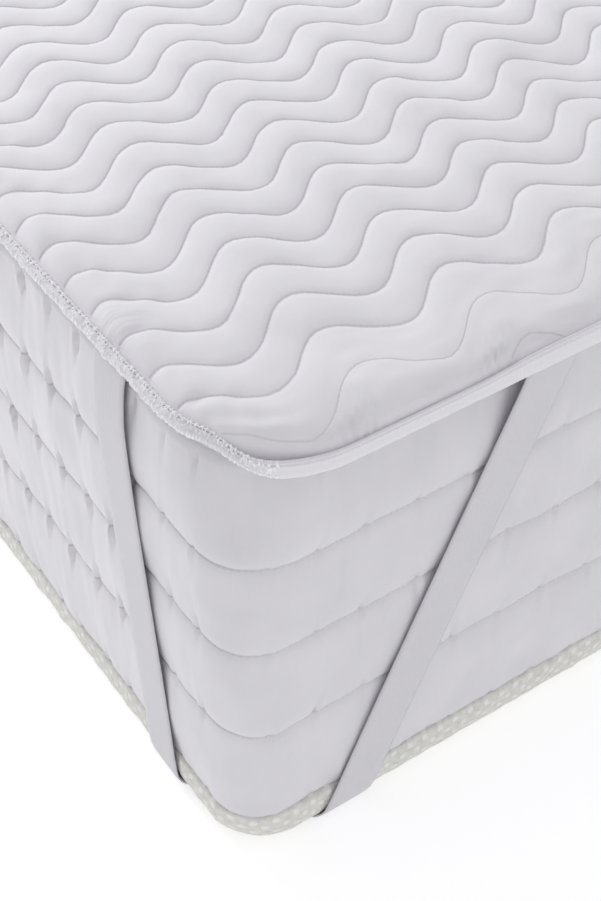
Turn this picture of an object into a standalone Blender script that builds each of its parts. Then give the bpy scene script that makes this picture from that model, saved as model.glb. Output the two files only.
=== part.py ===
"""Mattress protector on a mattress, modelled as separate closed solids.

The protector is a wadded pad quilted in wavy channels. A narrow binding closes its edge, and an
elastic strap runs from it under each corner of the mattress. The mattress is plain: a body whose
border has four bulging panels, on a base band with rounded lower edges.

Units are metres. +Z is up, +X runs along the mattress, and the origin is under its middle.
"""
import math

import bmesh
import bpy
import numpy as np
from mathutils import Vector

# Mattress
LENGTH = 1.900              # over the bulging border panels
WIDTH = 0.900
CORNER_STEPS = 6
# height, corner radius of the seam plane in plan
CORNER_RADII = ((0.0, 0.036), (0.033, 0.026), (0.105, 0.026), (0.172, 0.028), (0.233, 0.034),
                (0.288, 0.055), (0.303, 0.058))
BULGE = 0.008               # a border panel stands this far out of its seams
BULGE_SHAPE = 0.7           # below 1 the panel is fuller than a sine
PANEL_STEPS = (0.0, 0.1, 0.3, 0.5, 0.7, 0.9)
SEAM_HEIGHTS = (0.033, 0.105, 0.172, 0.233, 0.288)
MATTRESS_TOP = 0.303

# Gaps between pieces
TOUCH_GAP = 0.0003

# Quilting of the pad
CHANNEL_PITCH = 0.0255      # between two stitch lines, across the mattress
WAVE_LENGTH = 0.0745        # of a stitch line, along the mattress
WAVE_REACH = 0.0105         # a stitch line's sideways reach at its flattened peaks
RIDGE_REACH = 0.0140        # the same for the ridge between two stitch lines
CHANNELS = 31
WAVE_QUARTERS = 98          # quarters of a wave between the two ends of the quilting
FIRST_TROUGH = 0.0586       # from the end's seam plane to the first trough of the waves
FIRST_LINE = 0.0366         # from the long side's seam plane to the first stitch line
STITCH_THICKNESS = 0.0052   # of the pad at a stitch line
RIDGE_THICKNESS = 0.0112    # of the pad at a ridge

# Edge of the pad, along the long sides and along the short ones, where it is turned down less:
# distance outwards from the border's seam plane, and height, from the margin to the tip and back
PAD_CORNER_RADIUS = 0.062
PAD_EDGE = {
    "long": ((-0.0180, 0.3085), (-0.0100, 0.3083), (-0.0030, 0.3075), (0.0040, 0.3058),
             (0.0085, 0.3032), (0.0085, 0.2920), (0.0055, 0.2920), (0.0055, 0.3012),
             (0.0010, 0.3032), (-0.0070, 0.3040), (-0.0200, 0.3037), (-0.0360, 0.3033)),
    "short": ((-0.0180, 0.3085), (-0.0155, 0.3084), (-0.0130, 0.3082), (-0.0110, 0.3078),
              (-0.0100, 0.3072), (0.0000, 0.3014), (-0.0015, 0.2988), (-0.0100, 0.3037),
              (-0.0125, 0.3041), (-0.0160, 0.3042), (-0.0220, 0.3040), (-0.0360, 0.3033)),
}
PAD_TIP = 5                 # place of the tip's outer corner in PAD_EDGE, its inner corner is next

# Binding, a folded tape round the pad's edge
BINDING_TAPE = 0.0012
BINDING_OUTER_LEG = 0.0128
BINDING_INNER_LEG = 0.0100

# Elastic straps
STRAP_WIDTH = 0.0300
STRAP_THICKNESS = 0.0015
STRAP_TOP = 0.290           # height at which the places of the heads are given
STRAP_HEAD_LONG = 0.182     # strap's middle at the pad's edge, along the long side from the corner
STRAP_FOOT_LONG = 0.062     # the same at the floor
STRAP_HEAD_SHORT = 0.106    # the same along the short side
STRAP_FOOT_SHORT = 0.074
STRAP_BEND = (0.042, 0.056)     # pulls the strap's run under the corner away from a straight line
STRAP_UNDER_STEPS = 8
STRAP_LOW = 0.00105         # height of the strap's middle under the mattress
# height, far edge's distance from the seam plane, the corner edge's distance
STRAP_HEAD_SECTIONS = {
    "long": ((0.2902, 0.0070, 0.0070), (0.2830, 0.0086, 0.0098)),
    "short": ((0.29915, 0.0009, 0.0009), (0.2966, 0.0049, 0.0050), (0.2920, 0.0078, 0.0086),
              (0.2830, 0.0090, 0.0106)),
}
STRAP_SECTIONS = (
    (0.2650, 0.0096, 0.0124),
    (0.2200, 0.0097, 0.0132),
    (0.1400, 0.0097, 0.0134),
    (0.0850, 0.0097, 0.0130),
    (0.0550, 0.0095, 0.0116),
    (0.0380, 0.0086, 0.0092),
    (0.0260, 0.0080, 0.0080),
    (0.0150, 0.0078, 0.0078),
    (0.0085, 0.0068, 0.0068),
    (0.0036, 0.0045, 0.0045),
    (0.00115, 0.0005, 0.0005),
    (STRAP_LOW, -0.0060, -0.0060),
)

# Channel in the base that each strap runs through
CHANNEL_MARGIN = 0.004
CHANNEL_DEPTH = 0.0024
CHANNEL_RUN_OUT = 0.040

# Base band: distance outwards from the seam plane, and height
BASE_PROFILE = ((-0.0100, 0.0), (-0.0030, 0.0010), (0.0020, 0.0038), (0.0045, 0.0080),
                (0.0055, 0.0140), (0.0050, 0.0290), (-0.0010, SEAM_HEIGHTS[0] - TOUCH_GAP))
BODY_FOOT_INSET = 0.0010
BODY_SHOULDER = ((-0.0015, 0.2915), (-0.0050, 0.2955), (-0.0110, 0.2990), (-0.0190, 0.3015),
                 (-0.0280, 0.3027), (-0.0360, MATTRESS_TOP))

SEAM_HALF_X = LENGTH / 2 - BULGE
SEAM_HALF_Y = WIDTH / 2 - BULGE

# Colours are linear values: base colour and roughness
MATERIALS = {
    "quilted_cotton": ((0.76, 0.76, 0.80), 0.85),
    "binding_tape": ((0.72, 0.72, 0.76), 0.80),
    "elastic_webbing": ((0.62, 0.62, 0.66), 0.70),
    "mattress_ticking": ((0.66, 0.66, 0.70), 0.55),
    "base_fabric": ((0.60, 0.61, 0.58), 0.90),
}


def clear_scene():
    """Removes whatever the open scene holds."""
    for item in list(bpy.data.objects):
        bpy.data.objects.remove(item, do_unlink=True)


def new_collection(name, hidden=False):
    """A collection in the scene, for the parts or for the cutters."""
    collection = bpy.data.collections.new(name)
    bpy.context.scene.collection.children.link(collection)
    collection.hide_render = hidden
    return collection


def make_material(name):
    """A plain Principled material from the MATERIALS table."""
    colour, roughness = MATERIALS[name]
    material = bpy.data.materials.new(name)
    material.use_nodes = True
    shader = material.node_tree.nodes["Principled BSDF"]
    shader.inputs["Base Color"].default_value = (*colour, 1.0)
    shader.inputs["Roughness"].default_value = roughness
    shader.inputs["Metallic"].default_value = 0.0
    return material


def to_object(bm, name, collection, material=None):
    """Turns a bmesh into an object with outward normals and soft shading."""
    bmesh.ops.recalc_face_normals(bm, faces=bm.faces)
    mesh = bpy.data.meshes.new(name)
    bm.to_mesh(mesh)
    bm.free()
    mesh.shade_smooth()
    mesh.set_sharp_from_angle(angle=math.radians(40))
    item = bpy.data.objects.new(name, mesh)
    collection.objects.link(item)
    if material:
        mesh.materials.append(material)
    return item


def corner_radius(height):
    """Corner radius of the mattress at a height, from the CORNER_RADII table."""
    return float(np.interp(height, *zip(*CORNER_RADII)))


def add_ring(bm, long_side, short_side, radius):
    """One ring of vertices round the mattress.

    Each side is an offset outwards from the seam plane and a height. The ring passes smoothly
    from one to the other round its four corners.
    """
    ring = []
    for quarter, (side_x, side_y) in enumerate(((1, 1), (-1, 1), (-1, -1), (1, -1))):
        for step in range(CORNER_STEPS + 1):
            angle = math.radians(90 * (quarter + step / CORNER_STEPS))
            to_short = math.cos(angle) ** 2
            offset = long_side[0] + (short_side[0] - long_side[0]) * to_short
            height = long_side[1] + (short_side[1] - long_side[1]) * to_short
            x = side_x * (SEAM_HALF_X - radius) + (radius + offset) * math.cos(angle)
            y = side_y * (SEAM_HALF_Y - radius) + (radius + offset) * math.sin(angle)
            ring.append(bm.verts.new((x, y, height)))
    return ring


def loft(bm, rings, closed=False):
    """Skin between each ring and the next, and from the last to the first if closed.

    Each four-sided face is cut along its shorter diagonal, so that two skins that lie close
    together round a corner stay the same distance apart.
    """
    following = rings[1:] + (rings[:1] if closed else [])
    faces = []
    for ring, above in zip(rings, following):
        for index in range(len(ring)):
            after = (index + 1) % len(ring)
            faces.append(bm.faces.new((ring[index], ring[after], above[after], above[index])))
    bmesh.ops.triangulate(bm, faces=faces, quad_method="SHORT_EDGE")


def lofted_solid(name, profile, collection, material):
    """A solid with the plan's outline and the given profile of offsets and heights."""
    bm = bmesh.new()
    rings = [add_ring(bm, point, point, corner_radius(point[1])) for point in profile]
    loft(bm, rings)
    bm.faces.new(reversed(rings[0]))
    bm.faces.new(rings[-1])
    return to_object(bm, name, collection, material)


def border_profile():
    """Side of the mattress body: a bulging panel between each two seams, then the shoulder."""
    profile = [(-BODY_FOOT_INSET, SEAM_HEIGHTS[0])]
    for low, high in zip(SEAM_HEIGHTS, SEAM_HEIGHTS[1:]):
        for step in PANEL_STEPS:
            height = low + (high - low) * step
            if height > profile[-1][1]:
                profile.append((BULGE * math.sin(math.pi * step) ** BULGE_SHAPE, height))
    profile.append((0.0, SEAM_HEIGHTS[-1]))
    return profile + list(BODY_SHOULDER)


def wave_sign(column):
    """+1 at the two columns of a crest, -1 at the two columns of a trough."""
    return 1 if column % 4 in (3, 0) else -1


def add_quilting(bm):
    """Field of wavy channels: even rows are stitch lines, odd rows the ridges between them.

    The first and last columns are straight and flat, where the field meets the pad's margin.
    """
    columns = WAVE_QUARTERS
    rows = 2 * CHANNELS
    bmesh.ops.create_grid(bm, x_segments=columns, y_segments=rows, size=1.0)
    flat = MATTRESS_TOP + TOUCH_GAP + STITCH_THICKNESS
    ridge = MATTRESS_TOP + TOUCH_GAP + RIDGE_THICKNESS
    ridge_rows = {}
    for vert in bm.verts:
        column = round((vert.co.x + 1) / 2 * columns)
        row = round((vert.co.y + 1) / 2 * rows)
        on_ridge = row % 2 == 1
        inside = 0 < column < columns
        reach = (RIDGE_REACH if on_ridge else WAVE_REACH) if inside else 0.0
        along = FIRST_TROUGH + (column - 1.5) * WAVE_LENGTH / 4
        across = FIRST_LINE + row * CHANNEL_PITCH / 2 + reach * wave_sign(column)
        height = ridge if on_ridge and inside else flat
        vert.co = (along - SEAM_HALF_X, across - SEAM_HALF_Y, height)
        if on_ridge and inside:
            ridge_rows[vert] = column
    peaks = [edge for edge in bm.edges
             if all(vert in ridge_rows for vert in edge.verts)
             and wave_sign(ridge_rows[edge.verts[0]]) == wave_sign(ridge_rows[edge.verts[1]])]
    bmesh.ops.collapse(bm, edges=peaks)
    bmesh.ops.triangulate(bm, faces=bm.faces)


def quilted_pad(collection, material):
    """The pad: quilted field, flat margin, edge turned down over the shoulder, flat underside."""
    bm = bmesh.new()
    add_quilting(bm)
    field_rim = [edge for edge in bm.edges if edge.is_boundary]
    rings = [add_ring(bm, long_side, short_side, PAD_CORNER_RADIUS)
             for long_side, short_side in zip(PAD_EDGE["long"], PAD_EDGE["short"])]
    margin = [bm.edges.new((vert, rings[0][(index + 1) % len(rings[0])]))
              for index, vert in enumerate(rings[0])]
    bmesh.ops.triangle_fill(bm, edges=field_rim + margin, normal=(0, 0, 1))
    loft(bm, rings)
    bm.faces.new(rings[-1])
    return to_object(bm, "quilted_pad", collection, material)


def binding_section(side):
    """Section of the folded tape round the pad's tip on one side, a touch gap off the pad."""
    outer, inner = (Vector(point) for point in PAD_EDGE[side][PAD_TIP:PAD_TIP + 2])
    outwards = (outer - inner).normalized()
    forwards = Vector((outwards.y, -outwards.x))
    thickness = (outer - inner).length
    fold = TOUCH_GAP + BINDING_TAPE
    outer_end = fold - BINDING_OUTER_LEG
    inner_end = fold - BINDING_INNER_LEG
    section = ((outer_end, thickness + fold), (fold, thickness + fold), (fold, -fold),
               (inner_end, -fold), (inner_end, -TOUCH_GAP), (TOUCH_GAP, -TOUCH_GAP),
               (TOUCH_GAP, thickness + TOUCH_GAP), (outer_end, thickness + TOUCH_GAP))
    return [tuple(inner + forwards * ahead + outwards * out) for ahead, out in section]


def edge_binding(collection, material):
    """Folded tape with a long outer leg and a shorter inner one."""
    bm = bmesh.new()
    sections = zip(binding_section("long"), binding_section("short"))
    rings = [add_ring(bm, *sides, PAD_CORNER_RADIUS) for sides in sections]
    loft(bm, rings, closed=True)
    return to_object(bm, "edge_binding", collection, material)


def side_sections(side, head, foot):
    """Strap on one side, top to bottom: places along the side, distances outwards, heights."""
    slope = (head - foot) / STRAP_TOP
    half = STRAP_WIDTH * math.hypot(1, slope) / 2
    sections = []
    for height, far, corner in STRAP_HEAD_SECTIONS[side] + STRAP_SECTIONS:
        middle = foot + slope * height
        sections.append(((middle - half, corner), (middle + half, far), height))
    return sections


def under_section(fraction, half):
    """Strap's two edges under the corner, from the long side (0) to the short side (1)."""
    inset = -STRAP_SECTIONS[-1][1]
    start, end = (STRAP_FOOT_LONG, inset), (inset, STRAP_FOOT_SHORT)
    weights = ((1 - fraction) ** 2, 2 * fraction * (1 - fraction), fraction ** 2)
    middle = [sum(weight * point[axis] for weight, point in zip(weights, (start, STRAP_BEND, end)))
              for axis in (0, 1)]
    turn = math.radians(90 * fraction)
    reach = (half * math.cos(turn), half * math.sin(turn))
    near = (middle[0] - reach[0], middle[1] - reach[1])
    far = (middle[0] + reach[0], middle[1] + reach[1])
    return near, far


def strap_edges():
    """Both edges of one strap, in distances along and across from the seam plane's corner."""
    edges = []
    for near, far, height in side_sections("long", STRAP_HEAD_LONG, STRAP_FOOT_LONG):
        edges.append(((near[0], -near[1], height), (far[0], -far[1], height)))
    for step in range(1, STRAP_UNDER_STEPS):
        near, far = under_section(step / STRAP_UNDER_STEPS, STRAP_WIDTH / 2)
        edges.append(((*near, STRAP_LOW), (*far, STRAP_LOW)))
    for near, far, height in reversed(side_sections("short", STRAP_HEAD_SHORT, STRAP_FOOT_SHORT)):
        edges.append(((-near[1], near[0], height), (-far[1], far[0], height)))
    return edges


def channel_edges():
    """Both edges of the channel under one corner, run out past the base on both sides."""
    half = STRAP_WIDTH / 2 + CHANNEL_MARGIN
    height = -CHANNEL_DEPTH / 2
    steps = range(STRAP_UNDER_STEPS + 1)
    flat = [under_section(step / STRAP_UNDER_STEPS, half) for step in steps]
    slope = (STRAP_HEAD_LONG - STRAP_FOOT_LONG) / STRAP_TOP
    first = [(x + CHANNEL_RUN_OUT * slope, y - CHANNEL_RUN_OUT) for x, y in flat[0]]
    last = [(x - CHANNEL_RUN_OUT, y) for x, y in flat[-1]]
    return [((*near, height), (*far, height)) for near, far in [first, *flat, last]]


def ribbon(edges, mirror, name, thickness, collection, material=None):
    """A strip between two edges at one corner of the mattress, thickened on both sides."""
    bm = bmesh.new()
    rows = []
    for pair in edges:
        row = [bm.verts.new((mirror[0] * (SEAM_HALF_X - x), mirror[1] * (SEAM_HALF_Y - y), z))
               for x, y, z in pair]
        rows.append(row)
    for row, after in zip(rows, rows[1:]):
        bm.faces.new((row[0], row[1], after[1], after[0]))
    item = to_object(bm, name, collection, material)
    solid = item.modifiers.new("thickness", "SOLIDIFY")
    solid.thickness = thickness
    solid.offset = 0.0
    solid.use_even_offset = True
    return item


def corner_straps(collection, material):
    """One elastic strap at each corner of the mattress."""
    for number, mirror in enumerate(((-1, -1), (1, -1), (1, 1), (-1, 1)), start=1):
        ribbon(strap_edges(), mirror, f"corner_strap_{number}", STRAP_THICKNESS, collection, material)


def mattress_base(collection, cutters, material):
    """Base band, with a shallow channel under each corner for the strap."""
    base = lofted_solid("mattress_base", BASE_PROFILE, collection, material)
    for number, mirror in enumerate(((-1, -1), (1, -1), (1, 1), (-1, 1)), start=1):
        cutter = ribbon(channel_edges(), mirror, f"strap_channel_{number}", 3 * CHANNEL_DEPTH, cutters)
        cutter.hide_render = True
        cutter.display_type = "WIRE"
        cut = base.modifiers.new(f"channel_{number}", "BOOLEAN")
        cut.operation = "DIFFERENCE"
        cut.object = cutter
    return base


def main():
    """Builds the protector and the mattress under it."""
    clear_scene()
    parts = new_collection("mattress_protector")
    cutters = new_collection("cutters", hidden=True)
    materials = {name: make_material(name) for name in MATERIALS}
    quilted_pad(parts, materials["quilted_cotton"])
    edge_binding(parts, materials["binding_tape"])
    corner_straps(parts, materials["elastic_webbing"])
    lofted_solid("mattress_body", border_profile(), parts, materials["mattress_ticking"])
    mattress_base(parts, cutters, materials["base_fabric"])


main()
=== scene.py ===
"""Looks of a quilted mattress protector, strapped over the corners of a deep mattress.

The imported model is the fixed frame. Each piece here is a surface worked out on a grid of two
parameters, round the mattress or across it, and stands where the frame's own solid stands.
"""
import logging
import math
from dataclasses import dataclass, field, replace
from enum import Enum

import bpy
import numpy as np
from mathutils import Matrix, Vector


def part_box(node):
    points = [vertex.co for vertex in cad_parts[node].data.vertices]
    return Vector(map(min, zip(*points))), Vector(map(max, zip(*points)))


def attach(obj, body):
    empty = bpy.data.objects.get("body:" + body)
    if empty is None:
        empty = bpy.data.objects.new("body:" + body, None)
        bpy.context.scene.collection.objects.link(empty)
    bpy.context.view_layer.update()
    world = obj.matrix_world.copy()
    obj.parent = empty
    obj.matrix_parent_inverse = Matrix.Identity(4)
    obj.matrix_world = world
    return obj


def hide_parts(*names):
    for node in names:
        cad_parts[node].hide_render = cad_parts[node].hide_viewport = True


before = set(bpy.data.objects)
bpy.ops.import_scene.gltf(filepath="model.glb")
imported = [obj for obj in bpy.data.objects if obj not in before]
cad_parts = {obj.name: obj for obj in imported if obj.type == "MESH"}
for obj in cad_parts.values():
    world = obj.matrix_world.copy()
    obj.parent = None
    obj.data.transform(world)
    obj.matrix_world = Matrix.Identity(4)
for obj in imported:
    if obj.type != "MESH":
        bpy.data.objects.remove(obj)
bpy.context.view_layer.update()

MILLIMETRE = 0.001
BODY = "root"
CAD_BULGE = 0.008                # the solids' border panels stand this far out of their seams

log = logging.getLogger("mattress_protector")


class Side(Enum):
    """The two kinds of side of the mattress."""

    LONG = "long"
    SHORT = "short"


class Relief(Enum):
    """The surface pattern that a cloth's maker gives it."""

    PERCALE = "plain weave, quilted"
    OVERLOCK = "threads looped over an edge"
    WEBBING = "ribs along an elastic band"
    TICKING = "satin knit"
    DOTTED = "felt with rubber dots"


# Surface helpers


def smooth_step(value: np.ndarray, low: float, high: float) -> np.ndarray:
    """Eases from 0 at low to 1 at high: 3 t squared minus 2 t cubed.

    Args:
        value: where to read the step.
        low: value where it leaves 0.
        high: value where it reaches 1.

    Returns:
        The step at each value.
    """
    t = np.clip((value - low) / (high - low), 0.0, 1.0)
    return t * t * (3.0 - 2.0 * t)


def soft_bump(value: np.ndarray, middle: float, width: float) -> np.ndarray:
    """A bell of height 1: e to the power of minus the squared distance over the width."""
    return np.exp(-(((value - middle) / width) ** 2))


def soft_window(value: np.ndarray, rise: tuple, fall: tuple) -> np.ndarray:
    """An eased step up over the first range, times one down over the second."""
    return smooth_step(value, *rise) * (1 - smooth_step(value, *fall))


def running_total(steps: np.ndarray) -> np.ndarray:
    """Distance travelled at each point, from 0: the sum of the steps before it."""
    return np.concatenate(((0.0,), np.cumsum(steps)))


def pattern_places(first: np.ndarray, second: np.ndarray) -> np.ndarray:
    """Pattern coordinates on a grid, from two arrays that spread over it."""
    return np.stack(np.broadcast_arrays(first, second), -1)


def add_object(name: str, data: bpy.types.ID) -> bpy.types.Object:
    """Adds an object to the open scene, at the origin."""
    item = bpy.data.objects.new(name, data)
    bpy.context.scene.collection.objects.link(item)
    return item


def soft_noise(u: np.ndarray, v: np.ndarray, size: float, seed: int, waves: int = 20) -> np.ndarray:
    """Smooth unevenness of about unit strength.

    The sum of plane sine waves in seeded directions, over the root of half their number.

    Args:
        u: first coordinate, in metres.
        v: second coordinate, in metres.
        size: usual distance between two bumps, in metres.
        seed: start of the random draws.
        waves: number of waves added up.

    Returns:
        The unevenness at each point.
    """
    draws = np.random.default_rng(seed)
    total = np.zeros(np.broadcast(u, v).shape)
    for _ in range(waves):
        turn, phase = draws.uniform(0.0, 2.0 * math.pi, 2)
        number = 2.0 * math.pi / (size * draws.uniform(0.7, 1.5))
        total += np.sin(number * (u * math.cos(turn) + v * math.sin(turn)) + phase)
    return total / math.sqrt(waves / 2.0)


def spline_rows(rows: np.ndarray, steps: int) -> np.ndarray:
    """A smooth curve through each column's points, as a Catmull-Rom spline.

    Args:
        rows: control points, one row after another.
        steps: how many pieces each gap between two rows is cut into.

    Returns:
        The finer rows, the first and last as given.
    """
    padded = np.concatenate((2 * rows[:1] - rows[1:2], rows, 2 * rows[-1:] - rows[-2:-1]))
    t = (np.arange(steps) / steps).reshape((-1,) + (1,) * (rows.ndim - 1))
    pieces = []
    for p0, p1, p2, p3 in zip(padded, padded[1:], padded[2:], padded[3:]):
        bend = 2 * p0 - 5 * p1 + 4 * p2 - p3
        twist = -p0 + 3 * p1 - 3 * p2 + p3
        pieces.append(0.5 * (2 * p1 + (p2 - p0) * t + bend * t**2 + twist * t**3))
    return np.concatenate((*pieces, rows[-1:]))


@dataclass
class Skin:
    """Gathers grids of points and flat ends, and makes one mesh of them."""

    vertices: list[np.ndarray] = field(default_factory=list)
    faces: list[list[int]] = field(default_factory=list)
    places: list[np.ndarray] = field(default_factory=list)
    gaps: list[np.ndarray] = field(default_factory=list)
    gather_and_seam_shades: list[np.ndarray] = field(default_factory=list)
    count: int = 0

    def add_points(self, points: np.ndarray, gap: np.ndarray | None = None,
                   pull: np.ndarray | None = None) -> np.ndarray:
        """Adds points, each with its distance to the nearest stitch line.

        Args:
            points: an array whose last axis is x, y, z.
            gap: distance to the nearest stitch line, in metres, or None for far away.
            pull: on the pad, how much the cloth is gathered there; on the border, the weight of the
                seams' painted shade; from 0 to 1, or None for none.

        Returns:
            The number of each point, in the shape of the array.
        """
        shape = points.shape[:-1]
        numbers = self.count + np.arange(int(np.prod(shape))).reshape(shape)
        self.vertices.append(points.reshape(-1, 3))
        away = np.full(shape, 1.0) if gap is None else np.broadcast_to(gap, shape)
        self.gaps.append(away.reshape(-1))
        self.gather_and_seam_shades.append(np.broadcast_to(0.0 if pull is None else pull, shape).reshape(-1))
        self.count += numbers.size
        return numbers

    def add_grid(self, numbers: np.ndarray, places: np.ndarray,
                 wrap_rows: bool = False, wrap_columns: bool = False) -> None:
        """Adds four-sided faces between neighbouring rows and columns.

        Args:
            numbers: number of the point at each row and column.
            places: pattern coordinates, one row and column more than the grid where it wraps.
            wrap_rows: whether the last row joins the first.
            wrap_columns: whether the last column joins the first.
        """
        rows, columns = numbers.shape
        row = np.arange(rows if wrap_rows else rows - 1)[:, None]
        column = np.arange(columns if wrap_columns else columns - 1)[None, :]
        corners = ((0, 0), (0, 1), (1, 1), (1, 0))
        quads = [numbers[(row + down) % rows, (column + along) % columns]
                 for down, along in corners]
        spots = [places[row + down, column + along] for down, along in corners]
        self.faces.extend(np.stack(quads, -1).reshape(-1, 4).tolist())
        self.places.append(np.stack(spots, -2).reshape(-1, 2))

    def add_end(self, ring: np.ndarray, facing_up: bool) -> None:
        """Closes a ring, numbered anticlockwise seen from above, with one flat face."""
        order = ring if facing_up else ring[::-1]
        self.faces.append(order.tolist())
        self.places.append(np.zeros((len(order), 2)))

    def add_tube(self, numbers: np.ndarray, places: np.ndarray) -> None:
        """Adds a grid whose columns go round, closed by its first and last rows."""
        self.add_grid(numbers, places, wrap_columns=True)
        self.add_end(numbers[0], facing_up=False)
        self.add_end(numbers[-1], facing_up=True)

    def to_object(self, name: str) -> bpy.types.Object:
        """Makes the mesh, smooth shaded, with its pattern coordinates and stitch distances.

        Args:
            name: the piece's name.

        Returns:
            The object, at the origin, in the open scene.
        """
        mesh = bpy.data.meshes.new(name)
        mesh.from_pydata(np.concatenate(self.vertices).tolist(), [], self.faces)
        cloth = mesh.uv_layers.new(name="cloth")
        cloth.data.foreach_set("uv", np.concatenate(self.places).astype(np.float32).ravel())
        for label, values in (("stitch_gap", self.gaps), ("gather_and_seam_shade", self.gather_and_seam_shades)):
            attribute = mesh.attributes.new(label, "FLOAT", "POINT")
            attribute.data.foreach_set("value", np.concatenate(values).astype(np.float32))
        mesh.shade_smooth()
        if enclosed_volume(mesh) < 0:
            mesh.flip_normals()
        return add_object(name, mesh)


def enclosed_volume(mesh: bpy.types.Mesh) -> float:
    """Volume in a closed mesh: a sixth of the sum of its triangles' triple products."""
    mesh.calc_loop_triangles()
    corners = np.empty(len(mesh.loop_triangles) * 3, np.int32)
    mesh.loop_triangles.foreach_get("vertices", corners)
    points = np.empty(len(mesh.vertices) * 3)
    mesh.vertices.foreach_get("co", points)
    a, b, c = points.reshape(-1, 3)[corners].reshape(-1, 3, 3).transpose(1, 0, 2)
    return float(np.einsum("ij,ij->i", a, np.cross(b, c)).sum() / 6.0)


# The mattress in plan


@dataclass(frozen=True)
class Plan:
    """Rounded rectangle of the mattress's seams, seen from above.

    A place round it is a station from 0 to 8. Even stretches are the straight sides, from the
    long side that faces minus Y, anticlockwise, and odd stretches are the corners between them.
    """

    half_x: float
    half_y: float
    zone: float = 0.062          # how far a corner's stretch reaches along each side
    usual_radius: float = 0.030

    TANGENTS = np.array(((1, 0), (0, 1), (-1, 0), (0, -1)), float)
    NORMALS = np.array(((0, -1), (1, 0), (0, 1), (-1, 0)), float)

    def stretch_length(self, stretch: int) -> float:
        """Length of one stretch, in metres, at the usual corner radius."""
        if stretch % 2:
            return 2 * (self.zone - self.usual_radius) + self.usual_radius * math.pi / 2
        return 2 * ((self.half_x, self.half_y)[stretch // 2 % 2] - self.zone)

    def stations(self, spacing: float, fine: float | None = None,
                 reach: float = 0.40) -> tuple[np.ndarray, np.ndarray]:
        """Stations all the way round, closer together near the corner in front.

        Args:
            spacing: distance between two stations, in metres.
            fine: the distance near the front corner, or None for the same.
            reach: how far from the front corner the fine ones go, in metres.

        Returns:
            The stations, and each one's distance from station 0, with the whole length last.
        """
        fine = fine or spacing
        stations, distances, start = [], [], 0.0
        for stretch in range(8):
            length = self.stretch_length(stretch)
            step = fine if stretch == 7 else spacing
            cuts = np.linspace(0.0, length, math.ceil(length / step) + 1)
            if stretch in (0, 6):
                close = np.linspace(0.0, reach, math.ceil(reach / fine) + 1)[:-1]
                rest = np.linspace(reach, length, math.ceil((length - reach) / spacing) + 1)
                cuts = np.concatenate((close, rest))
                cuts = length - cuts[::-1] if stretch == 6 else cuts
            stations.append(stretch + cuts[:-1] / length)
            distances.append(start + cuts[:-1])
            start += length
        return np.concatenate(stations), np.append(np.concatenate(distances), start)

    def points(self, station: np.ndarray, radius: np.ndarray) -> tuple[np.ndarray, np.ndarray]:
        """Points on the seam plane and the ways outwards from them.

        A corner runs straight, then round an arc of the radius, then straight again.

        Args:
            station: places round the mattress.
            radius: corner radius, in metres, of a shape that goes with the stations.

        Returns:
            Points and outward directions in plan, the last axis x, y.
        """
        station, radius = np.broadcast_arrays(station, radius)
        stretch = np.floor(station).astype(int) % 8
        part = station - np.floor(station)
        side = stretch // 2
        along, out = self.TANGENTS[side], self.NORMALS[side]
        run = np.where(side % 2, self.half_y, self.half_x)
        away = np.where(side % 2, self.half_x, self.half_y)
        lead = self.zone - radius
        arc = radius * math.pi / 2
        travelled = part * (2 * lead + arc)
        turn = np.clip((travelled - lead) / radius, 0.0, math.pi / 2)
        before = lead - np.minimum(travelled, lead)
        after = np.maximum(travelled - lead - arc, 0.0)
        corner = stretch % 2 == 1
        turn = np.where(corner, turn, 0.0)
        straight = (2 * part - 1) * (run - self.zone)
        forward = np.where(corner, run - radius - before, straight)
        sideways = np.where(corner, away - radius - after, away - radius)
        facing = out * np.cos(turn)[..., None] + along * np.sin(turn)[..., None]
        points = along * forward[..., None] + out * sideways[..., None] + facing * radius[..., None]
        return points, facing

    def ring(self, station: np.ndarray, radius: np.ndarray, offset: np.ndarray,
             height: np.ndarray) -> np.ndarray:
        """Points at an offset outwards from the seam plane and a height.

        Args:
            station: places round the mattress.
            radius: corner radius of the seam plane.
            offset: distance outwards, in metres.
            height: height above the floor, in metres.

        Returns:
            Points, the last axis x, y, z.
        """
        station, radius, offset, height = np.broadcast_arrays(station, radius, offset, height)
        points, facing = self.points(station, radius)
        points = points + facing * offset[..., None]
        return np.concatenate((points, height[..., None]), -1)

    def short_share(self, station: np.ndarray) -> np.ndarray:
        """How much a place belongs to a short side: the square of its outward x direction."""
        return self.points(station, np.array(self.usual_radius))[1][..., 0] ** 2


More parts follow.
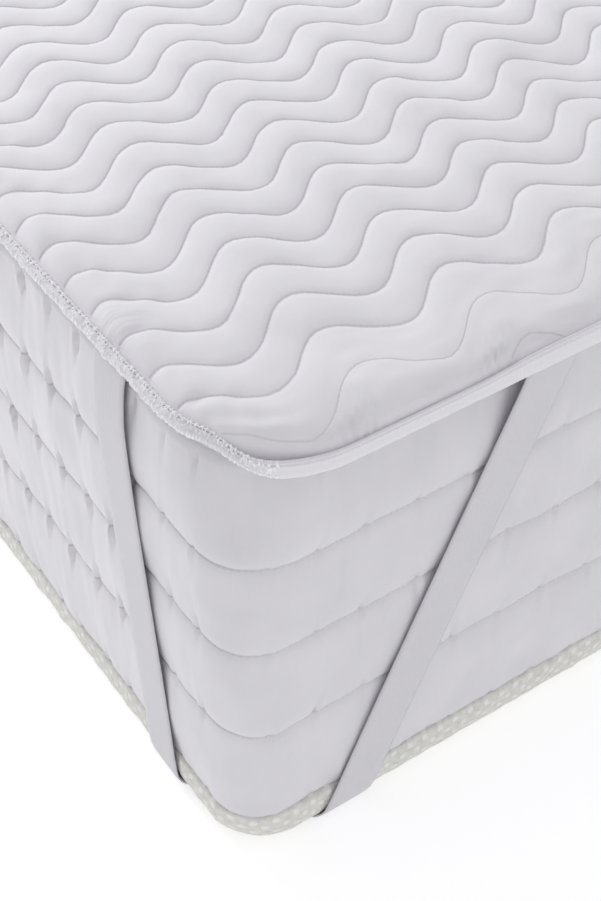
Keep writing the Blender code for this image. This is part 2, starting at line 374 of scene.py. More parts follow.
@dataclass(frozen=True)
class Edge:
    """Turned-down edge of the pad: offset and height, along the long and the short sides."""

    radius: float = 0.062
    turn_long: float = 0.0206    # cloth that goes past the seam plane and down
    turn_short: float = 0.0018
    top_long: tuple = ((0.0085, 0.2920), (0.0085, 0.3012), (0.0078, 0.3034), (0.0058, 0.3051),
                       (0.0025, 0.3065), (-0.0030, 0.3075), (-0.0100, 0.3083), (-0.0180, 0.3085))
    top_short: tuple = ((0.0000, 0.3014), (-0.0078, 0.3059), (-0.0100, 0.3070), (-0.0115, 0.3077),
                        (-0.0130, 0.3081), (-0.0145, 0.3083), (-0.0160, 0.3084), (-0.0180, 0.3085))
    under_long: tuple = ((0.0055, 0.2920), (0.0055, 0.3012), (0.0010, 0.3032), (-0.0070, 0.3040),
                         (-0.0200, 0.3037), (-0.0360, 0.3033))
    under_short: tuple = ((-0.0015, 0.2988), (-0.0100, 0.3037), (-0.0125, 0.3041),
                          (-0.0160, 0.3042), (-0.0220, 0.3040), (-0.0360, 0.3033))

    def top(self, distance: np.ndarray, share: np.ndarray) -> tuple[np.ndarray, np.ndarray]:
        """Offset and height of the cloth's upper face at a distance from its edge.

        Each side's table is read by the length along it, and the two are mixed by the share.

        Args:
            distance: length along the cloth from its edge, in metres.
            share: 0 on a long side, 1 on a short one.

        Returns:
            Offset outwards from the seam plane, and height.
        """
        sides = []
        for table, turn in ((self.top_long, self.turn_long), (self.top_short, self.turn_short)):
            points = np.array(table)
            steps = np.hypot(*np.diff(points, axis=0).T)
            lengths = running_total(steps)
            lengths *= (turn - points[-1, 0]) / lengths[-1]
            offset = np.interp(distance, lengths, points[:, 0])
            offset = np.where(distance > lengths[-1], turn - distance, offset)
            sides.append((offset, np.interp(distance, lengths, points[:, 1])))
        return tuple(low + (high - low) * share for low, high in zip(*sides))


# The pieces


@dataclass
class QuiltedPad:
    """The wadded panel, with wavy stitch lines that run along the mattress."""

    plan: Plan
    edge: Edge
    line_pitch: float = 0.0255   # one inch between stitch lines
    wave_length: float = 0.0745
    wave_reach: float = 0.0120
    first_trough: float = 0.0586
    first_line: float = 0.0111   # the line along the edge, sewn slack
    channels: int = 33
    puff: float = 0.0022         # of a channel over its stitch lines
    fullness: float = 0.66       # below 1 a channel is rounder than a parabola
    slack: float = 1.0           # share of the puff that stays over the outermost lines
    drift_out: float = 0.042     # how far the quilting was sewn off line at the front corner
    drift_edge: float = 0.014
    drift_along: float = 0.022
    crease_depth: float = 0.0032     # along the binding, over a long side's strap
    crease_place: float = 0.0165     # from the cloth's edge
    crease_width: float = 0.0036
    head_rise: tuple = (0.145, 0.19)     # from the end, where the crease comes in
    head_fall: tuple = (0.26, 0.33)      # and where it goes out
    gather_end: tuple = (0.009, 0.011)   # middle and width of a gathered patch, from the end
    gather_side: tuple = (0.118, 0.014)  # the same from the side
    uneven: tuple = ((0.00045, 0.075), (0.00027, 0.024))     # height and size, broad and fine
    pucker: float = 0.0004       # where the tape grips the cloth
    covered: float = 0.014       # what the tape covers, where the lines are packed closer
    channel_rows: tuple = (0.0, 0.06, 0.22, 0.5, 0.78, 0.94)
    edge_rows: tuple = (0.0, 0.06, 0.14, 0.22, 0.31, 0.40, 0.50, 0.60, 0.69, 0.78, 0.86, 0.94)
    edge_channels: int = 2       # near ones that take the closer rows
    margin_rows: tuple = (0.0, 0.10, 0.20, 0.29, 0.37, 0.44, 0.51, 0.58, 0.65, 0.72, 0.79, 0.86,
                          0.93)
    column_step: float = 0.0053
    edge_step: float = 0.0023
    edge_columns: int = 22

    def columns(self) -> np.ndarray:
        """Places along the cloth, from its middle, closer together at the near end."""
        half = self.plan.half_x + self.edge.turn_short
        near = np.arange(self.edge_columns) * self.edge_step
        far = np.arange(5) * self.edge_step
        start, end = near[-1], 2 * half - far[-1]
        inner = np.linspace(start, end, math.ceil((end - start) / self.column_step) + 1)
        return np.concatenate((near[:-1], inner, 2 * half - far[-2::-1])) - half

    def rows(self) -> tuple[np.ndarray, np.ndarray, np.ndarray]:
        """Rows across the cloth, from its near edge.

        Returns:
            Distance from the edge, share of the waves that the row follows, and its place
            across the channels, in metres from the first stitch line.
        """
        width = 2 * (self.plan.half_y + self.edge.turn_long)
        first = self.edge.turn_long + self.first_line
        last = first + self.channels * self.line_pitch
        near = np.arange(self.edge_channels)[:, None] + np.array(self.edge_rows)
        far = np.arange(self.edge_channels, self.channels)[:, None] + np.array(self.channel_rows)
        inside = first + self.line_pitch * np.concatenate((near.ravel(), far.ravel()))
        margin = np.array(self.margin_rows)
        place = np.concatenate((margin * first, inside, (last,),
                                width - margin[::-1] * (width - last)))
        follow = np.minimum(place / first, (width - place) / (width - last)).clip(0.0, 1.0)
        return place, follow, place - first

    def lift(self, across: np.ndarray) -> np.ndarray:
        """Height of the wadding over the stitches: a parabola's power in each channel."""
        part = np.mod(across / self.line_pitch, 1.0)
        channel = (4 * part * (1 - part)) ** self.fullness
        beyond = np.maximum(-across, across - self.channels * self.line_pitch)
        slack = self.slack * np.where(beyond > 0, 1.0, soft_bump(beyond, 0.0, 0.006))
        slack += 0.6 * self.slack * soft_bump(across, self.line_pitch, 0.006)
        channel = np.where(beyond > 0, 0.0, channel)
        return self.puff * (channel + slack * (1 - channel))

    def drift(self, x: np.ndarray, y: np.ndarray) -> tuple[np.ndarray, np.ndarray]:
        """How far the quilting lies off line near the front corner, as in the photograph.

        Both ways it falls off from the corner as e to the power of minus the distance. Along
        the mattress there is also a low bell the other way, and outwards a bell by the edge.

        Args:
            x: place along the flat cloth.
            y: place across it.

        Returns:
            Distance towards the near end, and towards the near side, in metres.
        """
        from_end = np.maximum(x + self.plan.half_x, 0.0)
        from_side = np.maximum(y + self.plan.half_y, 0.0)
        near = 1 - smooth_step(np.maximum(from_end, from_side), 0.30, 0.55)
        along = self.drift_along * np.exp(-from_end / 0.096 - from_side / 0.23)
        along -= 0.009 * soft_bump(from_end, 0.275, 0.13) * np.exp(-from_side / 0.29)
        out = self.drift_out * np.exp(-from_end / 0.122 - from_side / 0.130)
        out += self.drift_edge * soft_bump(from_side, 0.0, 0.040)
        return along * near, out * near

    def pack(self, place: np.ndarray, distance: np.ndarray) -> np.ndarray:
        """Keeps the rows on the cloth and in order, where they drift under the tape.

        Below the covered width a row's place becomes that width times e to the power of its
        lack. Rows outside the first line share out what is left evenly.

        Args:
            place: distance of each point from the cloth's near edge.
            distance: the rows' own distances, before the waves.

        Returns:
            The places, from 0 at the edge.
        """
        held = np.where(place < self.covered,
                        self.covered * np.exp(np.minimum(place / self.covered - 1, 0)), place)
        first = self.edge.turn_long + self.first_line
        line = int(np.searchsorted(distance, first - 1e-9))
        held[:line] = distance[:line, None] / first * held[line]
        return held

    def place(self, x: np.ndarray, y: np.ndarray) -> tuple[np.ndarray, ...]:
        """Lays flat cloth over the mattress and rounds its corners.

        In a corner, a square of cloth is squeezed onto a quarter disc: each coordinate times
        the root of one less half the other's square. The cloth then runs down its edge.

        Args:
            x: place along the flat cloth, from its middle.
            y: place across the flat cloth, from its middle.

        Returns:
            Points, distance from the cloth's edge, share of the short side, and the way
            outwards in plan.
        """
        radius, edge = self.edge.radius, self.edge
        reach_x, reach_y = radius + edge.turn_short, radius + edge.turn_long
        inner_x, inner_y = self.plan.half_x - radius, self.plan.half_y - radius
        part_x = np.clip((np.abs(x) - inner_x) / reach_x, 0.0, 1.0)
        part_y = np.clip((np.abs(y) - inner_y) / reach_y, 0.0, 1.0)
        out_x = part_x * np.sqrt(1 - part_y**2 / 2)
        out_y = part_y * np.sqrt(1 - part_x**2 / 2)
        out = np.maximum(np.hypot(out_x, out_y), 1e-9)
        share = (out_x / out) ** 2
        distance = (1 - out) * (reach_y + (reach_x - reach_y) * share)
        offset, height = edge.top(distance, share)
        far = radius + offset
        facing = np.stack((np.sign(x) * out_x / out, np.sign(y) * out_y / out), -1)
        placed_x = np.sign(x) * np.minimum(np.abs(x), inner_x) + facing[..., 0] * far
        placed_y = np.sign(y) * np.minimum(np.abs(y), inner_y) + facing[..., 1] * far
        return np.stack((placed_x, placed_y, height), -1), distance, share, facing

    def crease(self, x: np.ndarray, distance: np.ndarray, share: np.ndarray) -> np.ndarray:
        """Crease along the binding over a long side's strap: a bell of the edge's distance.

        Args:
            x: place along the mattress.
            distance: distance from the cloth's edge.
            share: share of the short side.

        Returns:
            Height to add, in metres.
        """
        from_end = self.plan.half_x - np.abs(x)
        over_head = soft_window(from_end, self.head_rise, self.head_fall)
        bell = soft_bump(distance, self.crease_place, self.crease_width)
        return -self.crease_depth * bell * over_head * (1 - share)

    def gathers(self, x: np.ndarray, y: np.ndarray) -> np.ndarray:
        """How much a short side's strap gathers the cloth: a bell behind each strap's head."""
        from_end = self.plan.half_x - np.abs(x)
        from_side = self.plan.half_y - np.abs(y)
        return soft_bump(from_end, *self.gather_end) * soft_bump(from_side, *self.gather_side)

    def build(self) -> bpy.types.Object:
        """Makes the pad as one closed skin.

        Returns:
            The piece.
        """
        columns = self.columns()
        distance, follow, across = self.rows()
        half = self.plan.half_y + self.edge.turn_long
        x = np.broadcast_to(columns, (len(distance), len(columns)))
        flat = np.broadcast_to(distance[:, None] - half, x.shape)
        along, out = self.drift(x, flat)
        turn = 2 * math.pi * (x + self.plan.half_x + along - self.first_trough) / self.wave_length
        y = flat - follow[:, None] * (self.wave_reach * np.cos(turn) + out)
        y = self.pack(y + half, distance) - half
        points, to_edge, share, facing = self.place(x, y)
        bound = np.clip((to_edge - 0.0125 + 0.0085 * share) / (0.0230 - 0.0170 * share), 0.0, 1.0)
        flat_rows = 1 - smooth_step(to_edge + 0.020 * share, 0.014, 0.028)
        lift = self.lift(across)[:, None]
        lift = (lift + (self.puff - lift) * flat_rows) * np.sqrt(bound * (2 - bound))
        settled = smooth_step(to_edge + 0.006 * share, 0.011, 0.022)
        (broad, broad_size), (fine, fine_size) = self.uneven
        uneven = broad * soft_noise(x, y, broad_size, 3) + fine * soft_noise(x, 2.2 * y, fine_size, 4)
        pucker = self.pucker * soft_noise(x, y, 0.016, 5) * soft_bump(to_edge, 0.018, 0.010)
        points[..., 2] += lift + settled * (uneven + self.crease(x, to_edge, share)) + pucker
        width = self.channels * self.line_pitch
        gap = np.abs(across - self.line_pitch * np.round(across / self.line_pitch))
        # The outermost lines read a wider gap, which makes their groove and its painted shade fainter.
        outermost = (np.abs(across - width / 2) > width / 2 - 1.5 * self.line_pitch)
        gap = np.maximum(gap + np.where(outermost, 0.0004, 0.0),
                         np.abs(across - width / 2) - width / 2)
        gap = np.where(to_edge > 0.0125 - 0.0065 * share, gap[:, None], 0.02)
        skin = Skin()
        numbers = skin.add_points(points, gap, self.gathers(x, y))
        travelled = running_total(np.hypot(np.diff(columns), np.diff(y[len(y) // 2])))
        skin.add_grid(numbers, pattern_places(travelled, across[:, None]))
        self.close_below(skin, numbers, points, facing, share)
        return skin.to_object("quilted_panel")

    def close_below(self, skin: Skin, numbers: np.ndarray, points: np.ndarray,
                    facing: np.ndarray, share: np.ndarray) -> None:
        """Adds the underside: rings inwards from the edge, then one flat face.

        Args:
            skin: the skin to add to.
            numbers: number of each point of the upper face.
            points: the points of the upper face.
            facing: the way outwards at each point.
            share: share of the short side at each point.
        """
        def rim(grid: np.ndarray) -> np.ndarray:
            """The grid's outer points, anticlockwise."""
            return np.concatenate((grid[0, :-1], grid[:-1, -1], grid[-1, :0:-1], grid[:0:-1, 0]))

        edge_points, edge_facing, edge_share = rim(points), rim(facing), rim(share)
        rings = [rim(numbers)]
        tip = self.edge.top(np.zeros(1), edge_share)
        for under_long, under_short in zip(self.edge.under_long, self.edge.under_short):
            offset, height = (low + (high - low) * edge_share
                              for low, high in zip(under_long, under_short))
            ring = edge_points.copy()
            ring[:, :2] += edge_facing * (offset - tip[0])[:, None]
            ring[:, 2] = height
            rings.append(skin.add_points(ring))
        grid = np.stack(rings[::-1])
        places = np.zeros((len(rings), grid.shape[1] + 1, 2))
        skin.add_grid(grid, places, wrap_columns=True)
        skin.add_end(rings[-1], facing_up=False)


@dataclass
class EdgeBinding:
    """Tape folded over the pad's edge, and the overlock thread that holds it."""

    plan: Plan
    edge: Edge
    long_leg: float = 0.0118
    short_leg: float = 0.0056
    head_extra: float = 0.0028   # more over a long side's strap
    head_rise: tuple = (0.13, 0.18)      # from the corner, where it widens
    head_fall: tuple = (0.26, 0.33)      # and where it narrows again
    inner_leg: float = 0.0100
    ripple: float = 0.00055
    column_step: float = 0.0022
    stitch_pitch: float = 0.0020
    thread: float = 0.00076      # puffed thread's radius
    slant: float = 0.0008

    # Round the tape's section: share of the outer leg and of the inner leg behind the fold, then
    # metres forwards, share of the pad's thickness and metres outwards, then how much of the
    # ripple the point takes forwards and outwards
    SECTION = (
        (1.00, 0.0, 0.0015, 1.0, 0.0003, 0.0, 0.0), (1.00, 0.0, 0.0010, 1.0, 0.0012, 0.0, 0.4),
        (0.97, 0.0, 0.0015, 1.0, 0.0021, 0.0, 1.0), (0.91, 0.0, 0.0015, 1.0, 0.0022, 0.0, 1.0),
        (0.85, 0.0, 0.0015, 1.0, 0.0010, 0.0, 0.9), (0.78, 0.0, 0.0015, 1.0, 0.0018, 0.0, 1.0),
        (0.70, 0.0, 0.0015, 1.0, 0.0018, 0.0, 1.0), (0.60, 0.0, 0.0015, 1.0, 0.0014, 0.0, 1.0),
        (0.45, 0.0, 0.0015, 1.0, 0.0016, 0.0, 1.0), (0.30, 0.0, 0.0015, 1.0, 0.0016, 0.0, 1.0),
        (0.15, 0.0, 0.0013, 1.0, 0.0014, 0.3, 0.9), (0.05, 0.0, 0.0015, 1.0, 0.0009, 0.8, 0.5),
        (0.00, 0.0, 0.0016, 0.5, 0.0000, 0.7, 0.0), (0.00, 0.0, 0.0015, 0.0, -0.0007, 0.5, 0.0),
        (0.00, 0.0, 0.0008, 0.0, -0.0015, 0.2, -0.1), (0.00, 0.5, 0.0012, 0.0, -0.0015, 0.0, -0.2),
        (0.00, 1.0, 0.0015, 0.0, -0.0015, 0.0, 0.0), (0.00, 1.0, 0.0015, 0.0, -0.0003, 0.0, 0.0),
        (0.00, 0.0, 0.0003, 0.0, -0.0003, 0.0, 0.0), (0.00, 0.0, 0.0003, 1.0, 0.0003, 0.0, 0.0),
        (0.50, 0.0, 0.0009, 1.0, 0.0003, 0.0, 0.0),
    )

    def frame_of(self, share: np.ndarray) -> tuple[np.ndarray, ...]:
        """The pad's tip in section: its inner corner, ways forwards and outwards, thickness."""
        outer = np.array(self.edge.top_long[0]) + share[..., None] * (
            np.array(self.edge.top_short[0]) - np.array(self.edge.top_long[0]))
        inner = np.array(self.edge.under_long[0]) + share[..., None] * (
            np.array(self.edge.under_short[0]) - np.array(self.edge.under_long[0]))
        out = outer - inner
        thickness = np.linalg.norm(out, axis=-1)
        out = out / thickness[..., None]
        forward = np.stack((out[..., 1], -out[..., 0]), -1)
        return inner, forward, out, thickness

    def leg(self, station: np.ndarray, share: np.ndarray) -> np.ndarray:
        """Width of the tape that shows: narrow on short sides, widest over a long side's strap.

        Args:
            station: places round the mattress.
            share: share of the short side.

        Returns:
            Width of the outer leg, in metres.
        """
        part = np.mod(station, 4.0)
        length = self.plan.stretch_length(0)
        from_corner = self.plan.zone + length * np.minimum(part, 1.0 - part)
        head = np.where(part < 1.0, soft_window(from_corner, self.head_rise, self.head_fall), 0.0)
        low, high = self.long_leg, self.short_leg
        return low + (high - low) * smooth_step(np.sqrt(share), 0.0, 0.85) + self.head_extra * head

    def ripples(self, along: np.ndarray, place: np.ndarray, share: np.ndarray) -> np.ndarray:
        """Puckers of the tape, always outwards: noise along it, stronger by the corners.

        Args:
            along: distance round the mattress.
            place: place round the section, in metres.
            share: share of the short side.

        Returns:
            Distance outwards, in metres.
        """
        coarse = soft_noise(along, 0.6 * place, 0.0085, 11)
        fine = soft_noise(along, place, 0.0036, 12)
        strength = self.ripple * (0.15 + 0.95 * smooth_step(share, 0.0, 0.5))
        return strength * (0.9 + 0.50 * coarse + 0.22 * fine).clip(0.0, 2.4)

    def surface(self, station: np.ndarray, along: np.ndarray, rows: np.ndarray,
                lift: float = 0.0) -> np.ndarray:
        """Points of the tape's section at stations round the mattress.

        Args:
            station: places round the mattress.
            along: distance round the mattress at each.
            rows: numbers of the section's points.
            lift: distance to stand off the tape.

        Returns:
            Points, of the shape that stations and rows make together.
        """
        share = self.plan.short_share(station)
        inner, forward, out, thickness = self.frame_of(share)
        behind, below, front, thick, top, push, raise_ = np.moveaxis(
            np.array(self.SECTION)[rows], -1, 0)
        wave = self.ripples(along, 0.012 * behind, share) + lift
        ahead = front - behind * self.leg(station, share) - below * self.inner_leg + push * wave
        outwards = thick * thickness + top + raise_ * wave
        spot = inner + forward * ahead[..., None] + out * outwards[..., None]
        return self.plan.ring(station, np.array(self.edge.radius), spot[..., 0], spot[..., 1])

    def tape_piece(self) -> bpy.types.Object:
        """The folded tape, all the way round."""
        station, along = self.plan.stations(self.column_step)
        rows = np.arange(len(self.SECTION))
        points = self.surface(station[None, :], along[None, :-1], rows[:, None])
        steps = np.linalg.norm(np.diff(points[:, 0], axis=0, append=points[:1, 0]), axis=-1)
        skin = Skin()
        numbers = skin.add_points(points)
        places = pattern_places(along[None, :], running_total(steps)[:, None])
        skin.add_grid(numbers, places, wrap_rows=True, wrap_columns=True)
        return skin.to_object("overlocked_binding")

    def thread_piece(self) -> bpy.types.Object:
        """Puffed loops of overlock thread, on the short sides and round the corners.

        Each loop shows as three short tubes of five sides along points on the tape's outer face.
        They lean to and fro, and their size varies.
        """
        _, along = self.plan.stations(self.column_step)
        count = int(along[-1] / self.stitch_pitch)
        draws = np.random.default_rng(21)
        start = (np.arange(count) + draws.uniform(-0.35, 0.35, count)) * along[-1] / count
        knots, known = self.station_table()
        start = start[self.plan.short_share(np.interp(start, known, knots)) > 0.02]
        count = len(start)
        skin = Skin()
        for rows in (np.array((1, 3, 5)), np.array((5, 7, 9)), np.array((9, 11, 12))):
            lean = draws.uniform(-1.2, 1.2, (count, 1)) * self.slant
            middle = start[:, None] + draws.uniform(-1.0, 1.0, (count, 1)) * self.slant
            spots = np.mod(middle + lean * np.linspace(-1, 1, len(rows)), along[-1])
            station = np.interp(spots, known, knots)
            centre = self.surface(station, spots, rows[None, :], lift=self.thread * -0.55)
            forward = np.gradient(centre, axis=1)
            forward /= np.linalg.norm(forward, axis=-1, keepdims=True)
            outwards = np.zeros_like(centre)
            outwards[..., :2] = self.plan.points(station, np.array(self.edge.radius))[1]
            outwards[..., 2] = 0.8
            sideways = np.cross(forward, outwards)
            sideways /= np.linalg.norm(sideways, axis=-1, keepdims=True)
            upwards = np.cross(sideways, forward)
            turns = np.arange(5) * 2 * math.pi / 5
            size = self.thread * draws.uniform(0.4, 1.3, (count, len(rows), 1, 1))
            ring = size * (np.cos(turns)[:, None] * sideways[..., None, :]
                           + np.sin(turns)[:, None] * upwards[..., None, :])
            zero = np.zeros((len(rows), len(turns) + 1, 2))
            for loop in skin.add_points(centre[..., None, :] + ring):
                skin.add_tube(loop, zero)
        return skin.to_object("overlock_thread")

    def station_table(self) -> tuple[np.ndarray, np.ndarray]:
        """Whole stations 0 to 8, and the distance round the mattress at each."""
        lengths = [self.plan.stretch_length(stretch) for stretch in range(8)]
        return np.arange(9.0), running_total(lengths)


@dataclass
class MattressBorder:
    """Side of the mattress: four quilted panels that bulge between stitched seams."""

    plan: Plan
    seams: tuple = (0.0315, 0.105, 0.172, 0.233, 0.288)
    radii: tuple = ((0.0, 0.036), (0.033, 0.026), (0.105, 0.026), (0.172, 0.028), (0.233, 0.034),
                    (0.288, 0.055), (0.303, 0.058))
    seam_offset: float = 0.0032
    bulge: float = 0.0017        # of a panel over its seams, on the straight sides
    bulge_shape: float = 0.55
    pinch: float = 0.0010        # narrow groove right at a seam
    pinch_width: float = 0.0022
    limit: float = 0.0057        # the straps lie outside this offset
    panel_rows: tuple = (0.0, 0.03, 0.07, 0.14, 0.26, 0.42, 0.58, 0.74, 0.86, 0.93, 0.97)
    shoulder: tuple = ((0.0015, 0.2915), (-0.0040, 0.2955), (-0.0110, 0.2990),
                       (-0.0190, 0.3015), (-0.0280, 0.3027), (-0.0360, 0.3030))
    long_pitch: float = 0.0319   # between tufts
    short_pitch: float = 0.0292
    long_first: float = 0.0126   # first tuft's distance from the corner
    short_first: float = 0.0300
    crease_depth: float = 0.0042
    crease_width: float = 0.0016
    crease_height: float = 0.0088
    dimple_depth: float = 0.0005
    dimple_width: float = 0.0080
    dimple_height: float = 0.0110
    lip: float = 0.42            # of a crease's depth, beside it
    long_weight: float = 0.34    # of the tufts on the long sides
    lowest_weight: float = 0.45  # of those on the lowest seam
    tuft_shift: float = 0.0024   # furthest that a tuft stands off its place
    tuft_rise: float = 0.003     # and off its seam
    column_step: float = 0.0040
    fine_step: float = 0.0020

    def radius_at(self, height: np.ndarray) -> np.ndarray:
        """Corner radius at a height, read from the table of heights."""
        return np.interp(height, *zip(*self.radii))

    def rows(self) -> tuple[np.ndarray, np.ndarray, np.ndarray]:
        """Rows from the lowest seam up over the shoulder, with each one's share of the bulge.

        Returns:
            Offset without any bulge, height, and share of the bulge: a sine's power.
        """
        offsets, heights, shares = [], [], []
        for low, high in zip(self.seams, self.seams[1:]):
            for part in self.panel_rows:
                heights.append(low + (high - low) * part)
                offsets.append(self.seam_offset)
                shares.append(math.sin(math.pi * part) ** self.bulge_shape)
        offsets.append(self.seam_offset)
        heights.append(self.seams[-1])
        shares.append(0.0)
        offset, height = zip(*self.shoulder)
        return (np.array((*offsets, *offset)), np.array((*heights, *height)),
                np.array((*shares, *(0.0 for _ in offset))))

    def tufts(self, station: np.ndarray, height: np.ndarray) -> np.ndarray:
        """Dimples and creases where the border is tufted, at every seam.

        A dimple is a broad bell. A crease is a narrow upright bell that leans a little, with a
        low lip beside it. Both are strong on short sides and weak on long ones.

        Args:
            station: places round the mattress.
            height: height above the floor.

        Returns:
            Offset to add, in metres, mostly inwards.
        """
        stretch = np.floor(station).astype(int) % 8
        part = station - np.floor(station)
        lengths = np.array([self.plan.stretch_length(number) for number in range(8)])
        from_corner = self.plan.zone + lengths[stretch] * np.minimum(part, 1 - part)
        in_corner = 2 * np.abs(part - 0.5) * self.plan.zone
        corner = stretch % 2 == 1
        side = np.where(corner, (stretch // 2 + (part > 0.5)) % 4, stretch // 2)
        half = np.where(corner, part > 0.5, part < 0.5)
        distance = np.where(corner, in_corner, from_corner)
        is_short = side % 2 == 1
        pitch = np.where(is_short, self.short_pitch, self.long_pitch)
        first = np.where(is_short, self.short_first, self.long_first)
        which = np.maximum(np.round((distance - first) / pitch), 0).astype(int)
        offset = distance - first - pitch * which
        number = which % 32 + 32 * (2 * side + half)
        weight = np.where(is_short, 0.35 + 0.65 * smooth_step(distance, 0.06, 0.13),
                          self.long_weight)
        draws = np.random.default_rng(31)
        pull = np.zeros(np.broadcast(station, height).shape)
        for level, seam in enumerate(self.seams):
            shift = draws.uniform(-self.tuft_shift, self.tuft_shift, 256)[number]
            weight_here = self.lowest_weight if level == 0 else 1.0
            strength = (draws.uniform(0.6, 1.2, 256) * weight_here)[number]
            lean = draws.uniform(-0.15, 0.35, 256)[number]
            up = height - seam - draws.uniform(-self.tuft_rise, self.tuft_rise, 256)[number]
            aside = offset - shift - lean * up
            tall = soft_bump(up, 0.0, self.crease_height)
            crease = soft_bump(aside, 0.0, self.crease_width) * tall
            lip = soft_bump(aside, 2.2 * self.crease_width, 1.3 * self.crease_width) * tall
            dimple = soft_bump(aside, 0.0, self.dimple_width) * soft_bump(up, 0.0, self.dimple_height)
            pull -= weight * strength * (self.crease_depth * (crease - self.lip * lip)
                                         + self.dimple_depth * dimple)
        return pull

    def build(self) -> bpy.types.Object:
        """Makes the border with the mattress's flat top and bottom, one closed skin.

        A seam's groove is a narrow bell at its height. On long sides the top panel slopes in
        under the pad's edge. The share of the short side is stored as the gather_and_seam_shade
        attribute, and gives the seams more painted shade there.

        Returns:
            The piece.
        """
        station, along = self.plan.stations(self.column_step, self.fine_step)
        offset, height, bulge = (row[:, None] for row in self.rows())
        radius = self.radius_at(height)
        place = station[None, :]
        facing = self.plan.points(place, np.array(self.plan.usual_radius))[1]
        share = facing[..., 0] ** 2
        round_corner = 2 * np.abs(facing[..., 0] * facing[..., 1])
        seams = np.array(self.seams[1:-1])
        gap = np.abs(height - seams).min(1, keepdims=True)
        groove = self.pinch * soft_bump(gap, 0.0, self.pinch_width)
        on_side = 1 - smooth_step(height, self.seams[-1], 0.2955)
        slope = smooth_step(height, 0.240, 0.289) * (1 - 0.25 * share)
        grid_along = along[None, :-1]
        uneven = 0.00035 * soft_noise(grid_along, 0.6 * height, 0.045, 32)
        uneven = uneven + 0.00012 * soft_noise(grid_along, 0.25 * height, 0.014, 33)
        total = offset + self.bulge * bulge * (1 - 0.55 * round_corner) - groove
        total = total + on_side * (self.tufts(place, height) * (1 - 0.5 * round_corner) + uneven)
        total = np.minimum(total, self.limit) - 0.0052 * slope * on_side
        points = self.plan.ring(place, radius, total, height)
        skin = Skin()
        # The short side's share goes along as the weight of the seams' painted shade.
        numbers = skin.add_points(points, gap, share)
        skin.add_tube(numbers, pattern_places(along[None, :], height))
        return skin.to_object("mattress_border")


@dataclass
class StrapRun:
    """Where one elastic strap runs: stations from the long side, under, to the short side."""

    plan: Plan
    width: float = 0.030
    thickness: float = 0.0015
    top: float = 0.290
    head_long: float = 0.185     # middle of the strap at the pad's edge, from the corner
    foot_long: float = 0.062     # the same at the floor
    head_short: float = 0.106
    foot_short: float = 0.074
    bend: tuple = (0.042, 0.056)
    under_steps: int = 8
    low: float = 0.00105

    # Height, far edge's distance from the seam plane, the corner edge's distance
    HEADS = {
        Side.LONG: ((0.2902, 0.0068, 0.0068), (0.2830, 0.0068, 0.0072), (0.2650, 0.0068, 0.0072),
                    (0.2200, 0.0068, 0.0070)),
        Side.SHORT: ((0.29915, 0.0003, 0.0003), (0.2966, 0.0014, 0.0014),
                     (0.2900, 0.0030, 0.0030), (0.2800, 0.0046, 0.0046),
                     (0.2650, 0.0060, 0.0060), (0.2200, 0.0068, 0.0068)),
    }
    # Height, both edges' distance, on down to the floor
    REST = ((0.1400, 0.0068), (0.0850, 0.0068), (0.0550, 0.0069), (0.0380, 0.0071),
            (0.0260, 0.0071), (0.0150, 0.0067), (0.0100, 0.0055), (0.0060, 0.0030),
            (0.0030, 0.0000), (0.00115, -0.0048), (0.00105, -0.0085))

    def on_side(self, side: Side) -> np.ndarray:
        """Both edges of the strap on one side, from its head down.

        Args:
            side: which side it lies on.

        Returns:
            Rows of two points: distance from the corner, distance outwards, height.
        """
        long_side = side is Side.LONG
        head = self.head_long if long_side else self.head_short
        foot = self.foot_long if long_side else self.foot_short
        slope = (head - foot) / self.top
        half = self.width * math.hypot(1, slope) / 2
        rest = tuple((height, out, out) for height, out in self.REST)
        height, far, corner = np.array(self.HEADS[side] + rest).T
        middle = foot + slope * height
        near_edge = np.stack((middle - half, corner, height), -1)
        far_edge = np.stack((middle + half, far, height), -1)
        return np.stack((near_edge, far_edge), 1)

    def under(self) -> np.ndarray:
        """Both edges under the corner: a quadratic curve, with the strap turning along it."""
        part = (np.arange(1, self.under_steps) / self.under_steps)[:, None]
        inset = -self.REST[-1][1]
        start, end = np.array((self.foot_long, inset)), np.array((inset, self.foot_short))
        bend = np.array(self.bend)
        middle = (1 - part) ** 2 * start + 2 * part * (1 - part) * bend + part**2 * end
        turn = part * math.pi / 2
        reach = self.width / 2 * np.concatenate((np.cos(turn), np.sin(turn)), 1)
        low = np.full((len(part), 1), self.low)
        near, far = (np.concatenate((middle + way * reach, low), 1) for way in (-1, 1))
        return np.stack((near, far), 1)

    def edges(self) -> np.ndarray:
        """Both edges from end to end, as distances from the seam planes' corner and height."""
        first = self.on_side(Side.LONG) * np.array((1, -1, 1))
        last = self.on_side(Side.SHORT)[::-1][..., (1, 0, 2)] * np.array((-1, 1, 1))
        return np.concatenate((first, self.under(), last))


